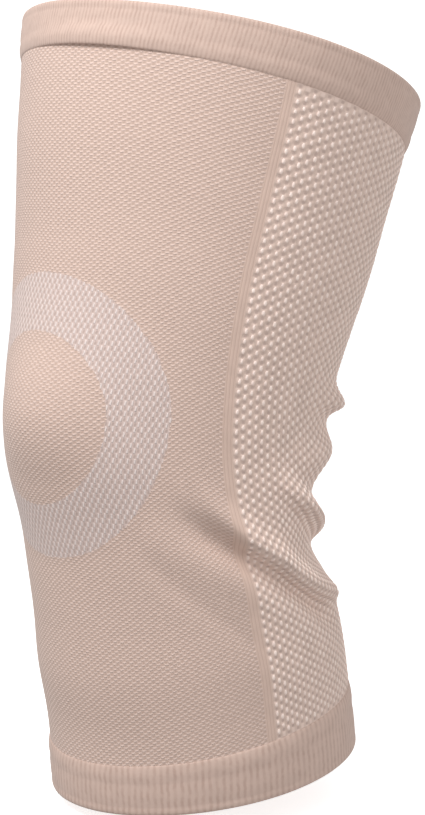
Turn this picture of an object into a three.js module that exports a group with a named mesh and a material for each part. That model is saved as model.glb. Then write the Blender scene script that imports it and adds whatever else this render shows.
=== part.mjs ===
// A seamless knitted compression knee sleeve in its worn form, on a slightly bent knee.
// Millimetres, +Z up. The kneecap faces -Y. The origin is inside the sleeve, at the middle of the knee.
// A place on the sleeve is an angle round the leg, in degrees from the kneecap towards +X, and a
// distance along the sleeve's own centre line, up from the bottom hem.
import * as THREE from "three";

// Driving dimensions
const SLEEVE_LENGTH = 268;
const KNEE_HEIGHT = 143;
const TOP = { breadth: 150, depth: 158 };
const KNEE = { breadth: 122, depth: 130 };
const BOTTOM = { breadth: 112, depth: 118 };
const THIGH_LEAN = 12.5;
const SHIN_LEAN = 7.5;
const BEND_SPAN = 90;
const PANEL_WALL = 1.8;
const CUFF_WALL = 2.6;
const CUFF_PROUD = 0.7;
const TOP_CUFF = { front: 16, back: 19.5 };
const BOTTOM_CUFF = { front: 18, back: 26 };
const TOP_HEM = { rise: 6, highest: -45, narrowness: 4 };
const STRIP_WIDTH = 4;
const RING = { outer: 56, inner: 33.5, tall: 0.94, below: 7 };
const KNIT_GAP = 0.3;

// Cross-sections. at: share of the sleeve's length. side, front and back: shares of the breadth and the
// depth that the row follows. seam: the side strip's angle from the kneecap, in degrees.
const SECTIONS = [
  { at: 0.0, follows: BOTTOM, side: 0.49, front: 0.5, back: 0.53, seam: 81 },
  { at: 0.1, follows: BOTTOM, side: 0.505, front: 0.486, back: 0.515, seam: 80 },
  { at: 0.18, follows: KNEE, side: 0.475, front: 0.45, back: 0.447, seam: 79 },
  { at: 0.25, follows: KNEE, side: 0.475, front: 0.445, back: 0.407, seam: 77 },
  { at: 0.32, follows: KNEE, side: 0.48, front: 0.445, back: 0.312, seam: 75 },
  { at: 0.39, follows: KNEE, side: 0.485, front: 0.449, back: 0.333, seam: 72.5 },
  { at: 0.46, follows: KNEE, side: 0.49, front: 0.46, back: 0.39, seam: 71 },
  { at: 0.54, follows: KNEE, side: 0.51, front: 0.455, back: 0.44, seam: 69.7 },
  { at: 0.7, follows: TOP, side: 0.45, front: 0.401, back: 0.425, seam: 70 },
  { at: 0.85, follows: TOP, side: 0.475, front: 0.448, back: 0.46, seam: 72 },
  { at: 1.0, follows: TOP, side: 0.5, front: 0.48, back: 0.5, seam: 73 },
];

// Soft swellings and hollows. height: share of the knee's depth. around: half extent in degrees.
// along: half extent as a share of the sleeve's length.
const SWELLINGS = [
  { angle: 0, at: 0.505, height: 0.052, around: 60, along: 0.17 },
  { angle: 5, at: 0.515, height: 0.026, around: 34, along: 0.085 },
];

// Folds behind the knee, each a ridge from one place to another, or a crease where its height is negative.
// bow: how far the middle lies above the straight way, as a share of the sleeve's length. height and width:
// shares of the knee's depth. droop: how far the ridge hangs over what is below it, as a share of its height.
const FOLDS = [
  { from: 104, fromAt: 0.54, to: 214, toAt: 0.53, bow: 0, height: 0.042, width: 0.04, droop: 0.35 },
  { from: 92, fromAt: 0.45, to: 238, toAt: 0.455, bow: 0, height: 0.042, width: 0.07, droop: 0 },
  { from: 84, fromAt: 0.445, to: 196, toAt: 0.3, bow: -0.034, height: 0.046, width: 0.039, droop: 0.35 },
  { from: 58, fromAt: 0.43, to: 143, toAt: 0.234, bow: -0.035, height: 0.033, width: 0.042, droop: 0.3 },
  { from: 46, fromAt: 0.415, to: 130, toAt: 0.192, bow: 0, height: -0.03, width: 0.045, droop: 0 },
  { from: 30, fromAt: 0.41, to: 110, toAt: 0.2, bow: 0, height: 0.005, width: 0.05, droop: 0 },
  { from: 34, fromAt: 0.365, to: 88, toAt: 0.175, bow: 0, height: -0.004, width: 0.04, droop: 0 },
  { from: 294, fromAt: 0.395, to: 186, toAt: 0.25, bow: -0.02, height: 0.034, width: 0.05, droop: 0.3 },
  { from: 312, fromAt: 0.37, to: 222, toAt: 0.22, bow: -0.01, height: -0.02, width: 0.05, droop: 0 },
];

// The share of a fold's way in which it rises at each end.
const FOLD_END = 0.25;

// A cuff's rounded edge. off: distance from the edge. thin: what it loses on each face. Shares of its wall.
const EDGE_ROUNDING = [
  { off: 0, thin: 0.3 },
  { off: 0.3, thin: 0 },
];

// How finely the knit is meshed. The rows lie closer together where it folds.
const CUFF_COLUMNS = 52;
const CUFF_ROWS = 2;
const BACK_COLUMNS = 32;
const BODY_ROWS = [
  { upTo: 0.16, rows: 4 },
  { upTo: 0.66, rows: 28 },
  { upTo: 1, rows: 7 },
];
const FRONT_BORDER = { columns: 12, rows: 16 };
const FRONT_STEPS = 6;
const RING_STEPS = 3;
const DOME_STEPS = 4;

// The mesh rows behind the knee dip as the folds do. depth: share of the sleeve's length. over: the degrees
// from the side strip in which they reach it. lowness: under 1, they dip most below the middle.
const ROW_DIP = { depth: 0.11, over: 62, lowness: 0.7 };

// Colours of the knit
const BEIGE = 0xd9bfb1;
const PALE = 0xe6d6cd;
const MESH_GREY = 0xcdb8ac;

const radians = THREE.MathUtils.degToRad;
const clamp = THREE.MathUtils.clamp;
const ease = (t) => THREE.MathUtils.smoothstep(t, 0, 1);

// One column of the section table at a share of the sleeve's length, on a smooth curve through the rows.
function section(name, at) {
  const sizes = { side: "breadth", front: "depth", back: "depth" };
  const value = (row) => row[name] * (name in sizes ? row.follows[sizes[name]] : 1);
  const last = SECTIONS.length - 1;
  const above = SECTIONS.findIndex((row) => row.at > at);
  const next = above < 0 ? last : Math.max(above, 1);
  const row = (k) => SECTIONS[clamp(k, 0, last)];
  const [before, low, high, after] = [row(next - 2), row(next - 1), row(next), row(next + 1)];
  const span = high.at - low.at;
  const start = ((value(high) - value(before)) / (high.at - before.at)) * span;
  const end = ((value(after) - value(low)) / (after.at - low.at)) * span;
  const rise = value(high) - value(low);
  const t = (at - low.at) / span;
  return value(low) + t * (start + t * (3 * rise - 2 * start - end + t * (start + end - 2 * rise)));
}

// The centre line is two straight runs, thigh and shin, joined by an arc at the knee.
function centreLine(along) {
  const bend = radians(THIGH_LEAN + SHIN_LEAN);
  const radius = BEND_SPAN / bend;
  const middle = bend / 2 - radians(SHIN_LEAN);
  const fromKnee = along - KNEE_HEIGHT;
  const onArc = clamp(fromKnee, -BEND_SPAN / 2, BEND_SPAN / 2);
  const straight = fromKnee - onArc;
  const lean = middle + onArc / radius;
  return {
    place: new THREE.Vector3(
      0,
      radius * (Math.cos(middle) - Math.cos(lean)) + straight * Math.sin(lean),
      radius * (Math.sin(lean) - Math.sin(middle)) + straight * Math.cos(lean),
    ),
    up: new THREE.Vector3(0, Math.sin(lean), Math.cos(lean)),
    back: new THREE.Vector3(0, Math.cos(lean), -Math.sin(lean)),
  };
}

// How far swellings and folds move the knit out, and how far folds let it hang down, in millimetres.
function relief(angle, along) {
  const at = along / SLEEVE_LENGTH;
  const round = ((((angle + 180) % 360) + 360) % 360) - 180;
  let out = 0;
  let down = 0;
  for (const swelling of SWELLINGS) {
    const reach = Math.hypot((round - swelling.angle) / swelling.around, (at - swelling.at) / swelling.along);
    out += swelling.height * KNEE.depth * ease(1 - reach);
  }
  const whole = round < 0 ? round + 360 : round;
  for (const fold of FOLDS) {
    const share = (whole - fold.from) / (fold.to - fold.from);
    const ends = ease(share / FOLD_END) * ease((1 - share) / FOLD_END);
    const bow = fold.bow * Math.sin(Math.PI * clamp(share, 0, 1));
    const ridge = THREE.MathUtils.lerp(fold.fromAt, fold.toAt, share) + bow;
    const off = ((at - ridge) * SLEEVE_LENGTH) / (fold.width * KNEE.depth);
    const lift = fold.height * KNEE.depth * ends * Math.exp(-off * off);
    out += lift;
    down += fold.droop * Math.max(lift, 0);
  }
  return { out, down };
}

// A point of the knit, at a depth below its outer face, or above it where the depth is negative.
function knit(angle, along, depth) {
  const turn = radians(angle);
  const at = along / SLEEVE_LENGTH;
  const side = section("side", at);
  const reach = section(Math.cos(turn) > 0 ? "front" : "back", at);
  const { place, up, back } = centreLine(along);
  const outward = back
    .clone()
    .multiplyScalar(-Math.cos(turn) * side)
    .add(new THREE.Vector3(Math.sin(turn) * reach, 0, 0))
    .normalize();
  const { out, down } = relief(angle, along);
  return place
    .add(new THREE.Vector3(Math.sin(turn) * side, 0, 0))
    .addScaledVector(back, -Math.cos(turn) * reach)
    .addScaledVector(outward, out - depth)
    .addScaledVector(up, -down);
}

// One closed body from a grid of places, with an outer layer 0 and an inner layer 1.
// closed: the columns run all the way round. pole: the first row is a single point.
function knitBody(name, colour, columns, rows, place, { closed = false, pole = false } = {}) {
  const across = closed ? columns : columns + 1;
  const points = [];
  const faces = [];
  const grid = [0, 1].map((layer) =>
    Array.from({ length: across }, (_, i) =>
      Array.from({ length: rows + 1 }, (_, j) =>
        pole && j === 0 && i > 0 ? null : points.push(place(i, j, layer)) - 1,
      ),
    ),
  );
  const corner = (layer, i, j) => grid[layer][pole && j === 0 ? 0 : i % across][j];
  // Each cell is split along its shorter diagonal, so that slanting folds stay smooth.
  const quad = (a, b, c, d) => {
    const other = points[a].distanceTo(points[c]) > points[b].distanceTo(points[d]);
    for (const face of other ? [[a, b, d], [b, c, d]] : [[a, b, c], [a, c, d]]) {
      if (new Set(face).size === 3) faces.push(...face);
    }
  };
  const rim = (i, j, k, l) => quad(corner(0, i, j), corner(1, i, j), corner(1, k, l), corner(0, k, l));
  for (let i = 0; i < columns; i += 1) {
    for (let j = 0; j < rows; j += 1) {
      quad(corner(0, i, j), corner(0, i + 1, j), corner(0, i + 1, j + 1), corner(0, i, j + 1));
      quad(corner(1, i, j), corner(1, i, j + 1), corner(1, i + 1, j + 1), corner(1, i + 1, j));
    }
    if (!pole) rim(i, 0, i + 1, 0);
    rim(i + 1, rows, i, rows);
  }
  for (let j = 0; j < rows && !closed; j += 1) {
    rim(0, j + 1, 0, j);
    rim(columns, j, columns, j + 1);
  }
  const geometry = new THREE.BufferGeometry().setFromPoints(points);
  geometry.setIndex(volumeOf(points, faces) > 0 ? faces : faces.reverse());
  geometry.computeVertexNormals();
  const body = new THREE.Mesh(
    geometry,
    new THREE.MeshStandardMaterial({ color: colour, roughness: 0.95, metalness: 0 }),
  );
  body.name = name;
  return body;
}

// Six times the volume that the faces enclose, negative where they face inwards.
function volumeOf(points, faces) {
  let volume = 0;
  for (let f = 0; f < faces.length; f += 3) {
    const [a, b, c] = faces.slice(f, f + 3).map((index) => points[index]);
    volume += a.clone().cross(b).dot(c);
  }
  return volume;
}

// Where the cuffs meet the knit between them. They are deeper behind the knee than in front.
// The top hem rides up a little on the inner side of the thigh.
const behind = (angle) => (1 - Math.cos(radians(angle))) / 2;
const bottomSeam = (angle) => THREE.MathUtils.lerp(BOTTOM_CUFF.front, BOTTOM_CUFF.back, behind(angle));
const bottomHem = () => 0;
const topHem = (angle) => SLEEVE_LENGTH + TOP_HEM.rise * (1 - behind(angle - TOP_HEM.highest)) ** TOP_HEM.narrowness;
const topSeam = (angle) => topHem(angle) - THREE.MathUtils.lerp(TOP_CUFF.front, TOP_CUFF.back, behind(angle));

// A cuff from its hem to its seam, a band with a rounded edge at each end.
function cuff(name, hemAt, seamAt) {
  const rounded = EDGE_ROUNDING.length;
  const rows = 2 * rounded + CUFF_ROWS - 1;
  return knitBody(
    name,
    BEIGE,
    CUFF_COLUMNS,
    rows,
    (i, j, layer) => {
      const angle = (360 * i) / CUFF_COLUMNS;
      const hem = hemAt(angle);
      const seam = seamAt(angle);
      const height = Math.abs(seam - hem);
      const nearest = Math.min(j, rows - j);
      const { off, thin } = EDGE_ROUNDING[Math.min(nearest, rounded - 1)];
      const end = EDGE_ROUNDING[rounded - 1].off * CUFF_WALL;
      const middle = THREE.MathUtils.mapLinear(j, rounded - 1, rows - rounded + 1, end, height - end);
      const edge = j < rows / 2 ? off * CUFF_WALL : height - off * CUFF_WALL;
      const fromHem = nearest < rounded ? edge : middle;
      const face = layer ? CUFF_WALL - CUFF_PROUD : -CUFF_PROUD;
      const inset = (layer ? -thin : thin) * CUFF_WALL;
      return knit(angle, hem + Math.sign(seam - hem) * fromHem, face + inset);
    },
    { closed: true },
  );
}

// The knit between the cuffs runs from one seam to the other, short of each by the gap.
function bodyHeight(angle, share) {
  return THREE.MathUtils.lerp(bottomSeam(angle) + KNIT_GAP, topSeam(angle) - KNIT_GAP, share);
}

// The same, for the panel behind the knee, where the rows dip between its sides.
function backHeight(angle, share) {
  const fromSeam = 180 - Math.abs(angle - 180) - section("seam", 0.5);
  const dip = ROW_DIP.depth * SLEEVE_LENGTH * ease(fromSeam / ROW_DIP.over);
  return bodyHeight(angle, share) - dip * Math.sin(Math.PI * share ** ROW_DIP.lowness) ** 2;
}

const ROW_SHARES = BODY_ROWS.flatMap(({ upTo, rows }, zone) => {
  const from = zone ? BODY_ROWS[zone - 1].upTo : 0;
  return Array.from({ length: rows }, (_, k) => from + ((upTo - from) * k) / rows);
}).concat(1);

// The angle at a distance round the knit from the side strip's middle line, in millimetres.
function besideStrip(along, distance) {
  const at = along / SLEEVE_LENGTH;
  const radius = (section("side", at) + section("front", at)) / 2;
  return section("seam", at) + THREE.MathUtils.radToDeg(distance / radius);
}

// The angle and the height of a place where each depends on the other, found in a few guesses.
const GUESSES = 4;

function placeWhere(angleAt, heightAt) {
  let place = { angle: 0, along: SLEEVE_LENGTH / 2 };
  for (let guess = 0; guess < GUESSES; guess += 1) {
    const angle = angleAt(place.along);
    place = { angle, along: heightAt(angle) };
  }
  return place;
}

function sideStrip(name, side) {
  return knitBody(name, BEIGE, 1, ROW_SHARES.length - 1, (i, j, layer) => {
    const { angle, along } = placeWhere(
      (height) => side * besideStrip(height, (i - 0.5) * STRIP_WIDTH),
      (turned) => bodyHeight(turned, ROW_SHARES[j]),
    );
    return knit(angle, along, layer * PANEL_WALL);
  });
}

function backPanel(name) {
  return knitBody(name, MESH_GREY, BACK_COLUMNS, ROW_SHARES.length - 1, (i, j, layer) => {
    const { angle, along } = placeWhere(
      (height) => {
        const start = besideStrip(height, STRIP_WIDTH / 2 + KNIT_GAP);
        return THREE.MathUtils.lerp(start, 360 - start, i / BACK_COLUMNS);
      },
      (turned) => backHeight(turned, ROW_SHARES[j]),
    );
    return knit(angle, along, layer * PANEL_WALL);
  });
}

// The front panel's border, once round from the bottom corner below the left side strip, as shares of its
// width and its height. The ring's and the dome's rays point at the same places.
function borderPlace(ray) {
  const { columns, rows } = FRONT_BORDER;
  if (ray < columns) return { u: ray / columns, v: 0 };
  if (ray < columns + rows) return { u: 1, v: (ray - columns) / rows };
  if (ray < 2 * columns + rows) return { u: 1 - (ray - columns - rows) / columns, v: 1 };
  return { u: 0, v: 1 - (ray - 2 * columns - rows) / rows };
}

const RAYS = 2 * (FRONT_BORDER.columns + FRONT_BORDER.rows);
const KNEE_RADIUS = (KNEE.breadth + KNEE.depth) / 4;
const RING_HEIGHT = KNEE_HEIGHT - RING.below;

// The front lies outside the knee's bend, so a length there is longer than on the centre line.
const FRONT_STRETCH = 1 + (KNEE.depth / 2) * (radians(THIGH_LEAN + SHIN_LEAN) / BEND_SPAN);

// The angle and height of the border's place that a ray points at.
function border(ray) {
  const { u, v } = borderPlace(ray);
  return placeWhere(
    (height) => (2 * u - 1) * besideStrip(height, -STRIP_WIDTH / 2 - KNIT_GAP),
    (turned) => bodyHeight(turned, v),
  );
}

// A place on a ray, at a distance from the middle of the ring.
function onRay(ray, distance) {
  const { angle, along } = border(ray);
  const direction = Math.atan2((along - RING_HEIGHT) * (FRONT_STRETCH / RING.tall), radians(angle) * KNEE_RADIUS);
  return {
    angle: THREE.MathUtils.radToDeg((Math.cos(direction) * distance) / KNEE_RADIUS),
    along: RING_HEIGHT + Math.sin(direction) * distance * (RING.tall / FRONT_STRETCH),
  };
}

function frontPanel(name) {
  return knitBody(
    name,
    BEIGE,
    RAYS,
    FRONT_STEPS,
    (ray, step, layer) => {
      const inner = onRay(ray, RING.outer + KNIT_GAP);
      const outer = border(ray);
      const share = step / FRONT_STEPS;
      const angle = THREE.MathUtils.lerp(inner.angle, outer.angle, share);
      return knit(angle, THREE.MathUtils.lerp(inner.along, outer.along, share), layer * PANEL_WALL);
    },
    { closed: true },
  );
}

// A round piece of knit between two distances from the middle of the ring.
function roundPanel(name, colour, inner, outer, steps) {
  return knitBody(
    name,
    colour,
    RAYS,
    steps,
    (ray, step, layer) => {
      const { angle, along } = onRay(ray, THREE.MathUtils.lerp(inner, outer, step / steps));
      return knit(angle, along, layer * PANEL_WALL);
    },
    { closed: true, pole: inner === 0 },
  );
}

const sleeve = new THREE.Group();
sleeve.add(
  cuff("top_cuff", topHem, topSeam),
  frontPanel("front_panel"),
  roundPanel("kneecap_ring", PALE, RING.inner, RING.outer, RING_STEPS),
  roundPanel("kneecap_dome", BEIGE, 0, RING.inner - KNIT_GAP, DOME_STEPS),
  sideStrip("side_strip_left", -1),
  sideStrip("side_strip_right", 1),
  backPanel("back_panel"),
  cuff("bottom_cuff", bottomHem, bottomSeam),
);

export default sleeve;
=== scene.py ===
"""A knitted compression knee sleeve in its worn form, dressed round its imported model.

The sleeve is one seamless knitted tube: two ribbed cuffs, a fine front, a pale ring and a dome over the
kneecap, a plain strip down each side, and an eyelet mesh behind the knee. Everything is in metres in the
model's own frame: +Z up the leg, the kneecap towards -Y. A place on the knit is an angle round the leg, in
degrees from the kneecap towards +X, and a distance up the sleeve's centre line from the bottom hem.
"""

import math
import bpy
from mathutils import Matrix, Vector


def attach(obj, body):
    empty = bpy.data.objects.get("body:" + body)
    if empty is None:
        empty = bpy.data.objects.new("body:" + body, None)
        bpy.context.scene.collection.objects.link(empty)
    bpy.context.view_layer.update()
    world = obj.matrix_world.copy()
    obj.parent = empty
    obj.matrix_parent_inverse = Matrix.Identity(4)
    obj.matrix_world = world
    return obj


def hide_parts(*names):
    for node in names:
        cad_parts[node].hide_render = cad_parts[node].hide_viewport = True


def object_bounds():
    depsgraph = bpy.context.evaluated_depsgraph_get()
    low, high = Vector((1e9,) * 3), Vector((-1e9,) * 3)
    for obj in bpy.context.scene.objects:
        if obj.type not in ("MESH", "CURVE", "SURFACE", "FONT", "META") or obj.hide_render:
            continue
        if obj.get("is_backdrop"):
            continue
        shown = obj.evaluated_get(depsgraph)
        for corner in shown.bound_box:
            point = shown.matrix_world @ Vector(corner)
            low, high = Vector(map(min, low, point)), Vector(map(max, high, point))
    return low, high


bl_info = {
    "name": "Knitted Knee Sleeve",
    "version": (1, 0, 0),
    "blender": (4, 5, 0),
    "location": "View3D > Sidebar > Knee Sleeve",
    "description": "Knits a worn knee sleeve: ribbed cuffs, fine front, pale kneecap ring and mesh back",
    "category": "Add Mesh",
}

from typing import NamedTuple

import bpy
import numpy as np
from bpy.props import FloatProperty, FloatVectorProperty, IntProperty, PointerProperty
from mathutils import Vector

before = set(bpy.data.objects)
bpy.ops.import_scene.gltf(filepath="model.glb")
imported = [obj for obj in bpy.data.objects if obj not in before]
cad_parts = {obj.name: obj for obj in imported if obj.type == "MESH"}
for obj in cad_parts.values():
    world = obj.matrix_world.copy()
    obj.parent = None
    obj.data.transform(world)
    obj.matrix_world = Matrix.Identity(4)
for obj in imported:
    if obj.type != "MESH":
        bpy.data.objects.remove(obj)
CAD_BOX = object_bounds()

MM = 0.001
SEED = 7


# The worn form


class Section(NamedTuple):
    """side, front and back are shares of the size of the part that a cross-section follows, and seam is the
    side strip's angle."""

    at: float
    follows: str
    side: float
    front: float
    back: float
    seam: float


class Swelling(NamedTuple):
    """A soft swelling. height is a share of the knee's depth, along a share of the sleeve's length."""

    angle: float
    at: float
    height: float
    around: float
    along: float


class Fold(NamedTuple):
    """A ridge from one place to another, or a crease where its height is negative. bow is a share of the
    sleeve's length, height and width are shares of the knee's depth, and droop is a share of the height."""

    start: float
    start_at: float
    end: float
    end_at: float
    bow: float
    height: float
    width: float
    droop: float


SECTIONS = (
    Section(0.0, "bottom", 0.49, 0.5, 0.53, 81),
    Section(0.1, "bottom", 0.505, 0.486, 0.515, 80),
    Section(0.18, "knee", 0.475, 0.45, 0.447, 79),
    Section(0.25, "knee", 0.475, 0.445, 0.407, 77),
    Section(0.32, "knee", 0.48, 0.445, 0.312, 75),
    Section(0.39, "knee", 0.485, 0.449, 0.333, 72.5),
    Section(0.46, "knee", 0.49, 0.46, 0.39, 71),
    Section(0.54, "knee", 0.51, 0.455, 0.44, 69.7),
    Section(0.7, "top", 0.45, 0.401, 0.425, 70),
    Section(0.85, "top", 0.475, 0.448, 0.46, 72),
    Section(1.0, "top", 0.5, 0.48, 0.5, 73),
)

SWELLINGS = (
    Swelling(0, 0.505, 0.052, 60, 0.17),
    Swelling(5, 0.515, 0.026, 34, 0.085),
)

FOLDS = (
    Fold(104, 0.54, 214, 0.53, 0, 0.042, 0.04, 0.35),
    Fold(92, 0.45, 238, 0.455, 0, 0.042, 0.07, 0),
    Fold(84, 0.445, 196, 0.3, -0.034, 0.046, 0.039, 0.35),
    Fold(58, 0.43, 143, 0.234, -0.035, 0.033, 0.042, 0.3),
    Fold(46, 0.415, 130, 0.192, 0, -0.03, 0.045, 0),
    Fold(30, 0.41, 110, 0.2, 0, 0.005, 0.05, 0),
    Fold(34, 0.365, 88, 0.175, 0, -0.004, 0.04, 0),
    Fold(294, 0.395, 186, 0.25, -0.02, 0.034, 0.05, 0.3),
    Fold(312, 0.37, 222, 0.22, -0.01, -0.02, 0.05, 0),
)

# The share of a fold's way in which it rises at each end.
FOLD_END = 0.25

# How often an angle and a height that depend on each other are found from one another.
GUESSES = 4


def srgb(code):
    """The linear colour of an sRGB hex value."""
    parts = [int(code[i : i + 2], 16) / 255 for i in (1, 3, 5)]
    return [c / 12.92 if c <= 0.04045 else ((c + 0.055) / 1.055) ** 2.4 for c in parts]


def ease(t):
    """0 below 0, 1 above 1, and a smooth way between them."""
    t = np.clip(t, 0, 1)
    return t * t * (3 - 2 * t)


# The size that each of a section's shares is a share of.
SCALED_BY = {"side": "breadth", "front": "depth", "back": "depth"}


def section(sizes, column, at):
    """One column of the section table at shares of the sleeve's length, on a smooth curve through it."""
    ats = np.array([row.at for row in SECTIONS])
    values = np.array([getattr(row, column) for row in SECTIONS])
    if column in SCALED_BY:
        values = values * [getattr(sizes, f"{row.follows}_{SCALED_BY[column]}") for row in SECTIONS]
    last = len(SECTIONS) - 1
    rows = np.arange(last + 1)
    before, after = np.maximum(rows - 1, 0), np.minimum(rows + 1, last)
    slopes = (values[after] - values[before]) / (ats[after] - ats[before])
    high = np.clip(np.searchsorted(ats, at, side="right"), 1, last)
    low = high - 1
    span = ats[high] - ats[low]
    t = (at - ats[low]) / span
    start, end = slopes[low] * span, slopes[high] * span
    rise = values[high] - values[low]
    return values[low] + t * (start + t * (3 * rise - 2 * start - end + t * (start + end - 2 * rise)))


def centre_line(sizes, along):
    """Places on the centre line, two straight runs joined by an arc, with the ways up and back there."""
    bend = sizes.thigh_lean + sizes.shin_lean
    radius = sizes.bend_span / bend
    middle = bend / 2 - sizes.shin_lean
    from_knee = along - sizes.knee_height
    on_arc = np.clip(from_knee, -sizes.bend_span / 2, sizes.bend_span / 2)
    straight = from_knee - on_arc
    lean = middle + on_arc / radius
    y = radius * (math.cos(middle) - np.cos(lean)) + straight * np.sin(lean)
    z = radius * (np.sin(lean) - math.sin(middle)) + straight * np.cos(lean)
    none = np.zeros_like(y)
    place = np.stack([none, y, z], -1)
    up = np.stack([none, np.sin(lean), np.cos(lean)], -1)
    back = np.stack([none, np.cos(lean), -np.sin(lean)], -1)
    return place, up, back


# How often a shallow wave goes up and down round the leg and along it, at least and at most.
WAVES_ROUND = (1, 7)
WAVES_ALONG = (1.5, 9)


def waver(sizes, angle, at):
    """The knit's own unevenness, a few long shallow waves that meet again all round the leg."""
    random = np.random.default_rng(SEED)
    out = np.zeros_like(at)
    for _ in range(sizes.waves):
        round_count = random.integers(*WAVES_ROUND)
        along_count = random.uniform(*WAVES_ALONG)
        phase = random.uniform(0, 2 * np.pi)
        out += np.sin(np.radians(angle) * round_count + 2 * np.pi * along_count * at + phase)
    return out * sizes.waver / math.sqrt(sizes.waves)


def relief(sizes, angle, along):
    """How far swellings and folds move the knit out, and how far folds let it hang down."""
    at = along / sizes.length
    centred = (angle + 180) % 360 - 180
    whole = angle % 360
    out = waver(sizes, angle, at)
    down = np.zeros_like(out)
    for swelling in SWELLINGS:
        reach = np.hypot((centred - swelling.angle) / swelling.around, (at - swelling.at) / swelling.along)
        out += swelling.height * sizes.knee_depth * ease(1 - reach)
    for fold in FOLDS:
        share = (whole - fold.start) / (fold.end - fold.start)
        ends = ease(share / FOLD_END) * ease((1 - share) / FOLD_END)
        bow = fold.bow * np.sin(np.pi * np.clip(share, 0, 1))
        ridge = fold.start_at + (fold.end_at - fold.start_at) * share + bow
        off = (at - ridge) * sizes.length / (fold.width * sizes.knee_depth)
        lift = fold.height * sizes.knee_depth * ends * np.exp(-off * off)
        out += lift
        down += fold.droop * np.maximum(lift, 0)
    return out, down


def knit(sizes, angle, along, depth):
    """Places of the knit at a depth below its outer face, or above it where the depth is negative."""
    angle, along, depth = np.broadcast_arrays(*(np.asarray(v, float) for v in (angle, along, depth)))
    turn = np.radians(angle)
    at = along / sizes.length
    side = section(sizes, "side", at)
    reach = np.where(np.cos(turn) > 0, section(sizes, "front", at), section(sizes, "back", at))
    place, up, back = centre_line(sizes, along)
    across = np.array([1.0, 0.0, 0.0])
    outward = -back * (np.cos(turn) * side)[..., None] + across * (np.sin(turn) * reach)[..., None]
    outward /= np.linalg.norm(outward, axis=-1, keepdims=True)
    out, down = relief(sizes, angle, along)
    return (
        place
        + across * (np.sin(turn) * side)[..., None]
        - back * (np.cos(turn) * reach)[..., None]
        + outward * (out - depth)[..., None]
        - up * down[..., None]
    )


# Where the top hem rides up, in degrees from the kneecap, and how narrowly.
HEM_HIGHEST = -45
HEM_NARROWNESS = 4


def behind(angle):
    """0 at the kneecap and 1 behind the knee."""
    return (1 - np.cos(np.radians(angle))) / 2


def hem(sizes, end, angle):
    """The height of the sleeve's top or bottom hem."""
    if end == "bottom":
        return np.zeros_like(angle)
    return sizes.length + sizes.hem_rise * (1 - behind(angle - HEM_HIGHEST)) ** HEM_NARROWNESS


def cuff_depths(sizes, end):
    """How deep the top or bottom cuff is in front and behind."""
    return [getattr(sizes, f"{end}_cuff_{side}") for side in ("front", "back")]


def seam(sizes, end, angle):
    """The height at which the top or bottom cuff meets the panels."""
    front, back = cuff_depths(sizes, end)
    inwards = 1 if end == "bottom" else -1
    return hem(sizes, end, angle) + inwards * (front + (back - front) * behind(angle))


def joined(*values):
    """Places, or places on the cloth, from their coordinates."""
    return np.stack(np.broadcast_arrays(*values), -1)


def way_length(places):
    """How long the way from place to place is."""
    return float(np.linalg.norm(np.diff(places, axis=0), axis=1).sum())


def knee_width(sizes, start, end, steps):
    """How long the knit is round the knee from one angle to another, measured in steps."""
    return way_length(knit(sizes, np.linspace(start, end, steps), sizes.knee_height, 0))


def beside_strip(sizes, along, distance):
    """The angle at a distance round the knit from the side strip's middle line."""
    at = along / sizes.length
    radius = (section(sizes, "side", at) + section(sizes, "front", at)) / 2
    return section(sizes, "seam", at) + np.degrees(distance / radius)


class Cloth:
    """The knit's courses between the cuffs. They lie evenly on the cloth, so they follow its folds.
    TUCK is how far the panels reach in under the cuffs."""

    ANGLES = np.arange(0.0, 361.0)
    SAMPLES = 600
    TUCK = 0.8 * MM

    def __init__(self, sizes):
        angle = self.ANGLES[:, None]
        share = np.linspace(0, 1, self.SAMPLES)[None]
        self.low = seam(sizes, "bottom", self.ANGLES) - self.TUCK
        self.high = seam(sizes, "top", self.ANGLES) + self.TUCK
        along = self.low[:, None] + (self.high - self.low)[:, None] * share
        places = knit(sizes, angle, along, 0)
        steps = np.linalg.norm(np.diff(places, axis=1), axis=-1)
        walked = np.concatenate([np.zeros_like(steps[:, :1]), np.cumsum(steps, 1)], 1)
        self.walked = walked / walked[:, -1:]
        self.length = float(walked[round(section(sizes, "seam", 0.5)), -1])
        self.heights = np.stack([np.interp(share[0], went, high) for went, high in zip(self.walked, along)])

    def look_up(self, table, angle, share):
        """The table's value between its four nearest entries."""
        angle, share = np.broadcast_arrays(angle % 360, np.clip(share, 0, 1))
        a = np.floor(angle).astype(int)
        s = np.minimum((share * (self.SAMPLES - 1)).astype(int), self.SAMPLES - 2)
        p = angle - a
        q = share * (self.SAMPLES - 1) - s
        low = table[a, s] * (1 - q) + table[a, s + 1] * q
        high = table[a + 1, s] * (1 - q) + table[a + 1, s + 1] * q
        return low * (1 - p) + high * p

    def height(self, angle, share):
        """How high a share of the cloth lies, at an angle."""
        return self.look_up(self.heights, angle, share)

    def share(self, angle, along):
        """The share of the cloth that lies below a height, at an angle."""
        low = np.interp(angle % 360, self.ANGLES, self.low)
        high = np.interp(angle % 360, self.ANGLES, self.high)
        return self.look_up(self.walked, angle, (along - low) / (high - low))


def place_where(sizes, cloth, share, angle_at):
    """The angles and heights of places at shares of the cloth, where an angle depends on the height."""
    along = np.asarray(sizes.length / 2)
    for _ in range(GUESSES):
        angle = angle_at(along)
        along = cloth.height(angle, share)
    return angle, along


# Meshes


def cells(grid):
    """The four corners of each cell of a grid."""
    corners = (grid[:-1, :-1], grid[1:, :-1], grid[1:, 1:], grid[:-1, 1:])
    return np.stack(corners, 2).reshape(-1, 4, *grid.shape[2:])


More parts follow.
